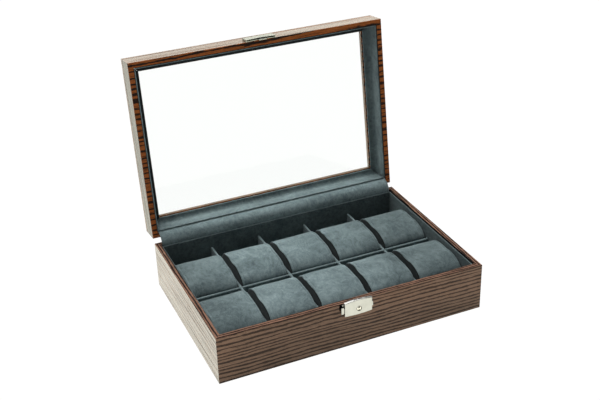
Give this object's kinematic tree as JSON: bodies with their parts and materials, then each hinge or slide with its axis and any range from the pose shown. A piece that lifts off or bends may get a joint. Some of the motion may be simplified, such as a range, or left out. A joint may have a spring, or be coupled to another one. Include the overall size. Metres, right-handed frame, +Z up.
{
  "type": "watch box",
  "caption": "Veneered watch box with a hinged glazed lid, velour-lined compartments with loose pillows, and a small box lock.",
  "frame": {"origin": "middle of the face that the case rests on, under the felt", "axes": "+Z up, +X along the width to the right, +Y from the lock towards the hinges"},
  "size_m": [0.33, 0.2892, 0.2866],
  "materials": {
    "veneer": "satin",
    "board": "matte",
    "velour": "matte",
    "pillow_velour": "matte",
    "felt": "matte",
    "glass": "gloss",
    "nickel": "satin",
    "brass": "satin"
  },
  "bodies": {
    "case": {"case_front_panel": "veneer", "case_right_panel": "veneer", "case_back_panel": "veneer", "case_left_panel": "veneer", "case_floor": "board", "base_felt": "felt", "lining_floor": "velour", "lining_front": "velour", "lining_right": "velour", "lining_back": "velour", "lining_left": "velour", "divider_long_1": "velour", "divider_long_2": "velour", "divider_long_3": "velour", "divider_long_4": "velour", "divider_cross": "velour", "hinge_stay_band": "velour", "hinge_case_leaf_left": "brass", "hinge_case_leaf_right": "brass", "hinge_pin_left": "brass", "hinge_pin_right": "brass", "lock_base_plate": "nickel", "lock_nail_1": "nickel", "lock_nail_2": "nickel", "lock_cover": "nickel"},
    "lid": {"lid_front_wall": "veneer", "lid_right_wall": "veneer", "lid_back_wall": "veneer", "lid_left_wall": "veneer", "lid_rail_front": "veneer", "lid_rail_right": "veneer", "lid_rail_back": "veneer", "lid_rail_left": "veneer", "glass_pane": "glass", "lid_lining_front": "velour", "lid_lining_right": "velour", "lid_lining_back": "velour", "lid_lining_left": "velour", "glass_bead_front": "velour", "glass_bead_right": "velour", "glass_bead_back": "velour", "glass_bead_left": "velour", "hinge_lid_leaf_left": "brass", "hinge_lid_leaf_right": "brass", "strike_plate": "nickel", "strike_screw_1": "nickel", "strike_screw_2": "nickel"},
    "pillow_back_1": {"pillow_back_1": "pillow_velour"},
    "pillow_back_2": {"pillow_back_2": "pillow_velour"},
    "pillow_back_3": {"pillow_back_3": "pillow_velour"},
    "pillow_back_4": {"pillow_back_4": "pillow_velour"},
    "pillow_back_5": {"pillow_back_5": "pillow_velour"},
    "pillow_front_1": {"pillow_front_1": "pillow_velour"},
    "pillow_front_2": {"pillow_front_2": "pillow_velour"},
    "pillow_front_3": {"pillow_front_3": "pillow_velour"},
    "pillow_front_4": {"pillow_front_4": "pillow_velour"},
    "pillow_front_5": {"pillow_front_5": "pillow_velour"},
    "key_plug": {"key_plug": "nickel"},
    "lock_slide": {"lock_slide": "nickel"}
  },
  "joints": [
    {"name": "lid_hinge", "type": "hinge", "parent": "case", "child": "lid", "pos_m": [0, 0.1144, 0.0608], "axis": [-1, 0, 0], "range_deg": [-97.8, 0], "deforming": ["hinge_stay_band"]},
    {"name": "pillow_back_1_lift", "type": "slide", "parent": "case", "child": "pillow_back_1", "axis": [0, 0, 1], "range_m": [0, 0.075]},
    {"name": "pillow_back_2_lift", "type": "slide", "parent": "case", "child": "pillow_back_2", "axis": [0, 0, 1], "range_m": [0, 0.075]},
    {"name": "pillow_back_3_lift", "type": "slide", "parent": "case", "child": "pillow_back_3", "axis": [0, 0, 1], "range_m": [0, 0.075]},
    {"name": "pillow_back_4_lift", "type": "slide", "parent": "case", "child": "pillow_back_4", "axis": [0, 0, 1], "range_m": [0, 0.075]},
    {"name": "pillow_back_5_lift", "type": "slide", "parent": "case", "child": "pillow_back_5", "axis": [0, 0, 1], "range_m": [0, 0.075]},
    {"name": "pillow_front_1_lift", "type": "slide", "parent": "case", "child": "pillow_front_1", "axis": [0, 0, 1], "range_m": [0, 0.075]},
    {"name": "pillow_front_2_lift", "type": "slide", "parent": "case", "child": "pillow_front_2", "axis": [0, 0, 1], "range_m": [0, 0.075]},
    {"name": "pillow_front_3_lift", "type": "slide", "parent": "case", "child": "pillow_front_3", "axis": [0, 0, 1], "range_m": [0, 0.075]},
    {"name": "pillow_front_4_lift", "type": "slide", "parent": "case", "child": "pillow_front_4", "axis": [0, 0, 1], "range_m": [0, 0.075]},
    {"name": "pillow_front_5_lift", "type": "slide", "parent": "case", "child": "pillow_front_5", "axis": [0, 0, 1], "range_m": [0, 0.075]},
    {"name": "key_turn", "type": "hinge", "parent": "case", "child": "key_plug", "pos_m": [0.0031, -0.113, 0.0504], "axis": [0, -1, 0], "range_deg": [0, 90]},
    {"name": "slide_throw", "type": "slide", "parent": "case", "child": "lock_slide", "axis": [-1, 0, 0], "range_m": [0, 0.00269]}
  ],
  "couplings": [
    {"joint": "key_turn", "follows": "slide_throw", "rad_per_m": 584.6}
  ]
}
